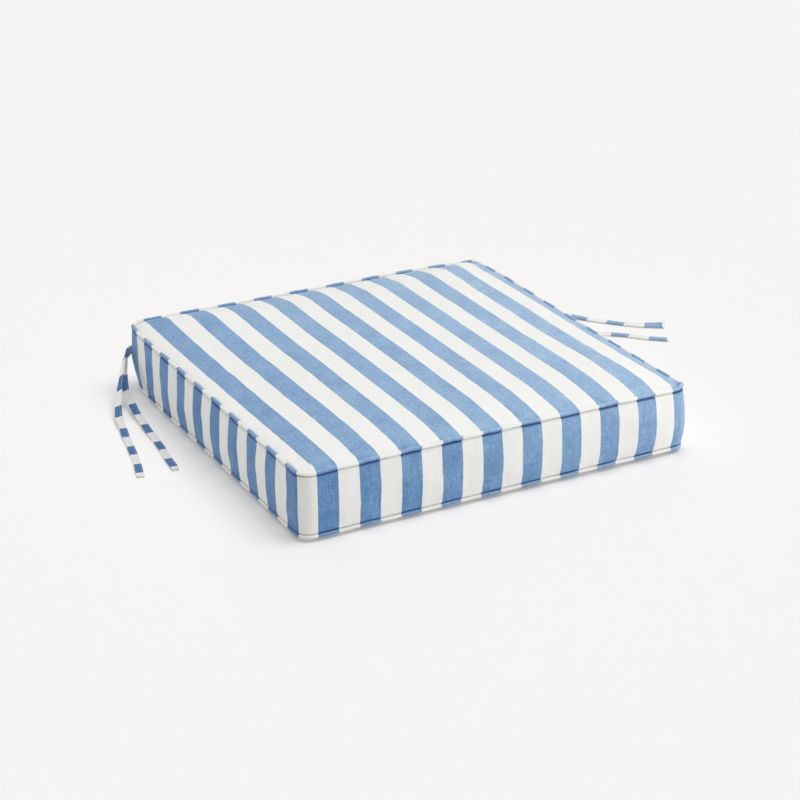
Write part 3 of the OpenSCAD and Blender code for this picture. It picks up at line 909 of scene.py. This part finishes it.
band_t = stations(JOIN_X, LOOP - JOIN_X, 2.9)
if len(band_t) % 2 == 0:  # refined needs an odd number
    band_t = np.linspace(band_t[0], band_t[-1], len(band_t) + 1)
section = boxing_rows(band_t)
faces = two_faces(band_t, section, CLOTH_T)
edge = len(FLANGE_LOW)
wall = faces[0][::2, edge:-edge:2]
pinned = np.ones(wall.shape[:2], bool)
pinned[4:-4, 1:-1] = False
shift = refined(billow(wall, pinned, 1.2, 0.001, 1.0, flip=True))
for face in faces:
    face[:, edge:-edge] += shift
sewn_strip("boxing_band_cloth", "boxing_band", band_t, section, faces)

# ---- boxing strips beside the zip ----

HALF_GAP = box("zip_boxing_upper")[0][2] - MID


for end, sign in (("upper", 1), ("lower", -1)):
    t = np.linspace(-JOIN_X + 1.2, JOIN_X - 1.2, 155)
    s = (np.linspace(HALF_GAP, 33.0, 12)) / 35
    face = np.stack([2.4 * np.clip(1 - np.abs(s) ** 2.4, 0, 1) ** 0.85 + 1.15 * np.exp((s - 1) * 5), MID + s * 35], -1)
    # the edge folded under beside the zip: reach from the face's first point, height above its fold
    fold = rows([-1.15, 10], [-1.1, 4.5], [-1.1, 1.2], [-0.95, 0.3], [-0.5, -0.05], [-0.1, 0.15])
    fold = fold + [face[0, 0], MID + HALF_GAP]
    face[0, 1] += 0.9
    line = np.concatenate([fold, face, FLANGE_TOP])
    section = np.repeat(line[None], len(t), 0)
    section[..., 0] += 0.10 * ripple(t, 81 + sign, 16)[:, None] * np.exp(-np.abs(line[:, 1] - MID - HALF_GAP - 3) / 3)
    thick = CLOTH_T * np.where(np.arange(len(line)) < len(fold), 0.9, 1.0)[:, None]
    faces = two_faces(t, section, thick)
    sewn_strip(f"zip_boxing_{end}_cloth", f"zip_boxing_{end}", t, section, faces, sign)

# ---- piping ----

WELT_R = 2.16  # middle of the cloth round the cord
WELT_T = 0.4
WELT_START = -118.0  # where the two ends overlap, on the back


def welt_section():
    """Line of the piping cloth: inside edge, round the cord and back, relative to the cord's centre."""
    turn = np.radians(np.linspace(-90, 225, 22))
    ring = np.stack([np.cos(turn), np.sin(turn)], -1) * WELT_R
    lower = rows([-9.5, -WELT_R - 0.05], [-5.0, -WELT_R - 0.05], [-2.0, -WELT_R - 0.02])
    upper = rows([-2.7, -WELT_R + 0.5], [-5.0, -WELT_R + 0.46], [-9.5, -WELT_R + 0.46])
    return np.concatenate([lower, ring, upper])


def welt_path(t, seed, upside):
    """Reach and height of the cord's centre, and the piping's girth, at each t."""
    reach = -CORD_IN + 0.22 * ripple(t, seed, 60) + 0.08 * ripple(t, seed + 1, 18)
    z = 0.22 * ripple(t, seed + 2, 70) + 0.10 * ripple(t, seed + 3, 20) - 0.3
    girth = 1 + 0.025 * ripple(t, seed + 4, 26)
    if upside:
        z = z + 2.4 * bell(t, T_R + 1, 7) + 1.6 * bell(t, T_B, 8)
        reach = reach + 0.5 * bell(t, T_R, 6) - 0.6 * bell(t, T_B, 6)
        girth = girth - 0.22 * bell(t, T_R + 9, 1.6) - 0.2 * bell(t, T_B - 7, 1.5) - 0.12 * bell(t, T_F, 2.0)
    return reach, z, girth


def piping(name, sign, seed):
    lap = 9.0
    t = stations(WELT_START, WELT_START + LOOP + lap, 1.75)
    reach, z, girth = welt_path(np.mod(t, LOOP), seed, sign > 0)
    end = t[-1] - t
    over = ramp(end, lap + 3, lap - 1)  # the last end is folded over the first
    tuck = ramp(t - t[0], 6, 2)  # and the first end is drawn in
    girth = (girth * (1 + 0.15 * over - 0.16 * tuck))[:, None]
    line = welt_section()
    faces = []
    for face in strip(line, WELT_T / 2):
        face = face * np.where(np.hypot(*face.T) < 4.0, girth, 1)[..., None]
        faces.append(mirrored(around(t, face[..., 0] + reach[:, None], CORD_Z + z[:, None] + face[..., 1]), sign))
    v = run_length(line)
    w = phase(t) + 1.2 * ripple(np.mod(t, LOOP), seed + 6, 260)
    outermost = v[14]
    # paler worn ridge on the outermost part of the piping; painted crease shade where the cloth runs into the seam
    wear_and_crease_shade = 0.9 * bell(v, outermost, 2.2) - ramp(np.abs(v - outermost), 4.2, 6.4)
    points, polygons, cloth = shell(*faces, coordinates(w[:, None], v, wear_and_crease_shade))
    piece(name + "_welt_cloth", warp(points), flipped(polygons, sign), CLOTH, "striped_cloth",
          name + "_welt_cover", cloth)
    # three-strand cord inside
    t = stations(WELT_START, WELT_START + LOOP - 0.6, 2.4)
    reach, z, girth = (part[:, None] for part in welt_path(np.mod(t, LOOP), seed, sign > 0))
    k, spin = turning(12), t[:, None] / 11.0 * 2 * np.pi
    radius = (WELT_R - WELT_T / 2 - 0.08) * (0.93 + 0.07 * np.cos(3 * (k + spin)))
    rings = mirrored(around(t, reach + radius * np.cos(k), CORD_Z + z + radius * np.sin(k)), sign)
    points, polygons = tube(rings)
    piece(name + "_welt_strands", warp(points), flipped(polygons, sign), CORD, "welt_cord", name + "_welt_cord")


piping("top", 1, 91)
piping("bottom", -1, 131)

# ---- zip ----

ZIP_END = JOIN_X - 2.0
CHAIN_LOW, CHAIN_HIGH = box("zipper_coil_upper")
TAPE_LOW, TAPE_HIGH = box("zipper_tape_upper")
CHAIN_Y = (CHAIN_LOW[1] + CHAIN_HIGH[1]) / 2
CHAIN_IN, CHAIN_OUT = -0.35, CHAIN_HIGH[2] - MID  # the heads of the closed zip reach past its middle
PITCH = 1.5


def stitch_row(line, face, side, length=2.6, gap=0.7, thick=0.24):
    """Stitches one after another along a line of points, each with the face and side direction there."""
    along = run_length(line)
    face, side = (np.broadcast_to(direction, line.shape) for direction in (face, side))
    out = []
    for start in np.arange(gap, along[-1] - length, length + gap):
        a, b = sample([start, start + length], along, line)
        i = min(np.searchsorted(along, start + length / 2), len(line) - 1)
        out.append(stitch(a, b, face[i], side[i], thick))
    return out


def zip_tape(name, node, sign):
    """Woven tape with a corded edge beside the coil and a selvedge at the other edge."""
    x = np.linspace(TAPE_LOW[0] + 0.3, TAPE_HIGH[0] - 0.3, 260)[:, None]
    v = np.concatenate([np.linspace(0, 2.2, 8), np.linspace(2.8, 13.6, 12), [14.2, 14.6, 15.0]])
    v = v * (TAPE_HIGH[2] - TAPE_LOW[2]) / 15
    half = 0.3 + 0.14 * bell(v, 0.9, 0.5) + 0.05 * bell(v, 14.4, 0.5)
    half[[0, -1]] = 0.2
    middle = (TAPE_LOW[1] + TAPE_HIGH[1]) / 2 + 0.12 * field(x, v, 301 + sign, 40)
    z = TAPE_LOW[2] + v + 0.08 * ripple(x, 303 + sign, 30) * (v > 12)
    points, polygons, _ = shell(*(coordinates(x, middle + k * half, z) for k in (1, -1)))
    piece(name, warp(mirrored(points, sign)), flipped(polygons, -sign), TAPE, "zip_tape", node)


def zip_coil(name, node, sign):
    """Flattened spiral of monofilament, its heads reaching for the other half between that half's own."""
    turns = int((2 * ZIP_END - 4) / PITCH)
    a = np.linspace(0, 2 * np.pi * turns, turns * 14)
    c, s = np.cos(a), np.sin(a)
    wire = 0.34
    wide, deep = (CHAIN_OUT - CHAIN_IN) / 2 - wire, (CHAIN_HIGH[1] - CHAIN_LOW[1]) / 2 - wire
    z = MID + (CHAIN_IN + CHAIN_OUT) / 2 - np.sign(c) * np.abs(c) ** 0.6 * wide
    y = CHAIN_Y + np.sign(s) * np.abs(s) ** 0.8 * deep
    x = -ZIP_END + 2 + PITCH * (a / (2 * np.pi) + (0.25 if sign < 0 else -0.25))
    line = np.stack([x, y, z], -1)
    ahead = unit(np.gradient(line, axis=0))
    side = unit(np.cross(ahead, [1.0, 0.0, 0.0]))
    k = turning(7)[:, None]
    ring = np.cos(k) * side[:, None] + np.sin(k) * np.cross(side, ahead)[:, None]
    points, polygons = tube(line[:, None] + wire * ring)
    piece(name, warp(mirrored(points, sign)), flipped(polygons, sign), COIL, "zip_coil", node)
    # the two rows of stitches that hold the spiral on the tape
    row_x = np.linspace(-ZIP_END + 2, ZIP_END - 2, 300)
    stitches = []
    for height, level in ((CHAIN_OUT - 0.75, CHAIN_HIGH[1] + 0.12), (CHAIN_OUT + 0.55, TAPE_HIGH[1] + 0.15)):
        row = coordinates(row_x, level, MID + height)
        stitches += stitch_row(row, [0.0, 1.0, 0.0], [0.0, 0.0, 1.0], 2.4, 0.6, 0.2)
    points, polygons = joined(stitches)
    piece(name + "_thread", warp(mirrored(points, sign)), flipped(polygons, sign), WHITE_THREAD, "thread")


for end, sign in (("upper", 1), ("lower", -1)):
    zip_tape("zip_tape_" + end, "zipper_tape_" + end, sign)
    zip_coil("zip_coil_" + end, "zipper_coil_" + end, sign)

METAL = metal("zip_metal_worn")
for node in ("zipper_slider", "zipper_pull"):
    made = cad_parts[node]
    made.data.materials.clear()
    made.data.materials.append(METAL)
    bevel = made.modifiers.new("eased", "BEVEL")
    bevel.width, bevel.segments, bevel.limit_method, bevel.angle_limit = 0.22 * MM, 3, "ANGLE", math.radians(40)

# ---- stitching ----


def over_boxing(t, z, sign):
    """Points on the boxing's outer face beside the zip, at height z above the zip's middle."""
    reach = 2.4 * (1 - abs(z / 35) ** 2.4) ** 0.85
    return mirrored(around(t, np.full((len(t), 1), reach), np.full(1, MID + z))[:, 0], sign)


def sewn(name, node, lines, thick):
    """A piece of thread from several rows of stitches: (line, face, side)."""
    points, polygons = joined([part for line in lines for part in stitch_row(*line, thick=thick)])
    piece(name, warp(points), polygons, THREAD, "thread", node)


OUT, LEVEL = np.array([0.0, 1.0, 0.0]), np.array([0.0, 0.0, 1.0])
zip_t = np.linspace(-JOIN_X + 3, JOIN_X - 3, 400)
for end, sign in (("upper", 1), ("lower", -1)):
    line = over_boxing(zip_t, HALF_GAP + 3, sign) + [0, 0.1, 0]
    sewn("zip_topstitch_" + end, "zip_stitching_" + end, [(line, OUT, LEVEL)], 0.24)

loop_t = np.linspace(WELT_START, WELT_START + LOOP - 1, 1600)
for end, sign in (("top", 1), ("bottom", -1)):
    low, high = box(end + "_seam_stitching")
    seam = around(loop_t, np.full((len(loop_t), 1), -5.0), np.full(1, (low[2] + high[2]) / 2))[:, 0]
    outward = np.pad(rim(loop_t)[1], ((0, 0), (0, 1)))
    sewn(end + "_seam_thread", end + "_seam_stitching", [(seam, -sign * LEVEL, outward)], 0.26)

low, high = box("join_stitching")
z = np.linspace(SEAM_LOW + 3, SEAM_HIGH - 3, 40)
lines = [(coordinates(x, (low[1] + high[1]) / 2, z), [math.copysign(1.0, x), 0.0, 0.0], OUT)
         for x in (low[0] + 0.3, high[0] - 0.3)]
sewn("join_thread", "join_stitching", lines, 0.26)


def bar_tack(name, node):
    """Close zigzag of thread over the sewn end of the ties, with stitches down through both."""
    low, high = box(node)
    away = math.copysign(1.0, low[0])  # the ties run away from the middle of the pad
    inner, tie_end = sorted((low[0], high[0]), key=abs)
    parts = []
    z = np.linspace(low[2] + 0.2, high[2] - 0.2, 26)
    for i in range(len(z) - 1):
        near, far = (z[i + 1], z[i]) if i % 2 else (z[i], z[i + 1])
        a = np.array([inner + 0.3 * away, high[1] + 0.25, near])
        b = np.array([tie_end + 3.0 * away, high[1] + 0.72, far])
        parts.append(stitch(a, b, OUT, LEVEL, 0.2))
    for h in z[::3]:
        top_end = np.array([inner + 0.3 * away, high[1] + 0.1, h])
        bottom_end = top_end - OUT * (high[1] - low[1] - 0.2)
        parts.append(stitch(top_end, bottom_end, np.array([-away, 0.0, 0.0]), LEVEL, 0.18))
    piece(name, *joined(parts), THREAD, "thread", node)


for side in ("left", "right"):
    bar_tack("bar_tack_" + side, "tie_tack_" + side)

# ---- filling ----


def foam_block():
    """Block with eased edges, a little hollow on its cut faces."""
    low, high = box("foam_core")
    size, middle, ease = (high - low) / 2, (high + low) / 2, 5.0
    counts = (72, 72, 14)
    parts = []
    for axis in range(3):
        for sign in (-1, 1):
            a, b = [k for k in range(3) if k != axis]
            u, v = np.meshgrid(np.linspace(-1, 1, counts[a]), np.linspace(-1, 1, counts[b]), indexing="ij")
            p = np.zeros(u.shape + (3,))
            p[..., axis], p[..., a], p[..., b] = sign, u, v
            q = p * size
            core = np.clip(q, -(size - ease), size - ease)
            q = core + unit(q - core) * ease
            q[..., 2] += 0.4 * field(q[..., 0], q[..., 1], 401, 130) * np.sign(q[..., 2])
            faces = grid(counts[a], counts[b], flip=(sign * (1 if axis != 1 else -1)) < 0)
            parts.append((q.reshape(-1, 3) + middle, [faces]))
    return joined(parts)


def weld(points, polygons):
    """Joins points that lie together."""
    _, first, where = np.unique(np.round(points, 4), axis=0, return_index=True, return_inverse=True)
    return points[first], [where.ravel()[p] for p in polygons]


points, polygons = weld(*foam_block())
foam = piece("foam_block", warp(points), polygons, FOAM, "foam", "foam_core")


def batting():
    """Sleeve of batting round the foam from front to back: crowned outside, square inside, open at both sides."""
    low, high = box("fibre_wrap")
    foam_low, foam_high = box("foam_core")
    k = turning(160)
    square_y, square_z = (np.sign(v) * np.abs(v) ** 0.16 for v in (np.cos(k), np.sin(k)))
    _, half_y, half_z = (foam_high - foam_low) / 2 + 0.3
    mid_z = (foam_high[2] + foam_low[2]) / 2
    x, y = np.broadcast_arrays(np.linspace(low[0] + 0.5, high[0] - 0.5, 90)[:, None], square_y * (HALF - 6.0))
    depth = np.minimum(HALF - np.abs(x), HALF - np.abs(y))
    under = crown(x, y, np.maximum(depth, 5.0)) - 4.0
    z = mid_z + square_z * np.where(square_z > 0, under - mid_z, mid_z - 2.0)
    lump = 0.35 * field(x, k * 90, 411, 30)
    outer = coordinates(x, y + lump * square_y, z + lump * square_z)
    inner = coordinates(x, square_y * half_y, mid_z + square_z * half_z)
    n, m = outer.shape[:2]
    whole = n * m
    j = np.arange(m)
    l = (j + 1) % m
    head = np.stack([j, l, l + whole, j + whole], -1)
    tail = np.stack([j, j + whole, l + whole, l], -1) + (n - 1) * m
    walls = [grid(n, m, around_m=True), grid(n, m, whole, flip=True, around_m=True)]
    return np.concatenate([outer.reshape(-1, 3), inner.reshape(-1, 3)]), flipped(walls + [head, tail], -1)


points, polygons = batting()
wrap = piece("batting_sleeve", warp(points), polygons, BATTING, "fibre", "fibre_wrap")

# ---- stage ----


def area(name, where, towards, size, power):
    lamp = bpy.data.lights.new(name, "AREA")
    lamp.shape, lamp.size, lamp.size_y = "RECTANGLE", *size
    lamp.energy = power
    where, towards = np.array(where), np.array(towards)
    z = unit(where - towards)
    x = unit(np.cross([0.0, 0.0, 1.0], z))
    return aimed(bpy.data.objects.new(name, lamp), x, np.cross(z, x), z, where)


def sun(name, towards, power, angle, tint=(1.0, 1.0, 1.0)):
    """Broad light from far away, from the side that towards points to."""
    made = bpy.data.objects.new(name, bpy.data.lights.new(name, "SUN"))
    made.data.energy, made.data.angle, made.data.color = power, math.radians(angle), tint
    made.rotation_euler = Vector(towards).to_track_quat("Z", "Y").to_euler()
    SCENE.collection.objects.link(made)
    return made


floor_graph = Graph("floor_paper")
floor_material = floor_graph.set(Base_Color=shade(211, 208, 206), Roughness=1.0, Specular_IOR_Level=0.0,
                                 Emission_Color=(1.0, 1.0, 1.0, 1.0), Emission_Strength=0.25)
mesh = bpy.data.meshes.new("floor")
mesh.from_pydata([(-15, -15, -0.0004), (15, -15, -0.0004), (15, 15, -0.0004), (-15, 15, -0.0004)], [], [(0, 1, 2, 3)])
mesh.materials.append(floor_material)
floor = bpy.data.objects.new("floor", mesh)
SCENE.collection.objects.link(floor)

world = bpy.data.worlds.new("studio")
world.use_nodes = True
world.node_tree.nodes["Background"].inputs["Color"].default_value = (1.0, 1.0, 1.0, 1.0)
world.node_tree.nodes["Background"].inputs["Strength"].default_value = 0.2
SCENE.world = world

sun("overhead", (0.0, 0.0, 1.0), 1.0, 30, (0.965, 0.985, 1.0))
sun("rear_fill", (0.25, 0.7, 0.66), 0.6, 60)
floor_light = sun("floor_light", (0.38, -0.18, 0.9), 1.45, 34, (0.965, 0.985, 1.0))
pad_lights = [
    sun("front_fill", (0.45, -0.72, 0.5), 1.5, 50),
    sun("right_fill", (0.8, 0.25, 0.34), 0.7, 50),
    sun("top_fill", (0.0, 0.0, 1.0), 0.15, 50),
    sun("left_fill", (-0.75, 0.4, 0.35), 1.15, 40),
    area("front_softbox", (0.75, -0.9, 0.35), (0.2, -0.2, 0.05), (0.5, 0.5), 2.8),
]
# the floor has a light of its own, and the side lights leave it alone, so that it stays even
for name, state, lamps in (("floor_lit", "INCLUDE", [floor_light]), ("floor_unlit", "EXCLUDE", pad_lights)):
    group = bpy.data.collections.new(name)
    group.objects.link(floor)
    group.collection_objects[0].light_linking.link_state = state
    for lamp in lamps:
        lamp.light_linking.receiver_collection = group

SCENE.view_settings.view_transform = "Standard"
SCENE.view_settings.look = "None"
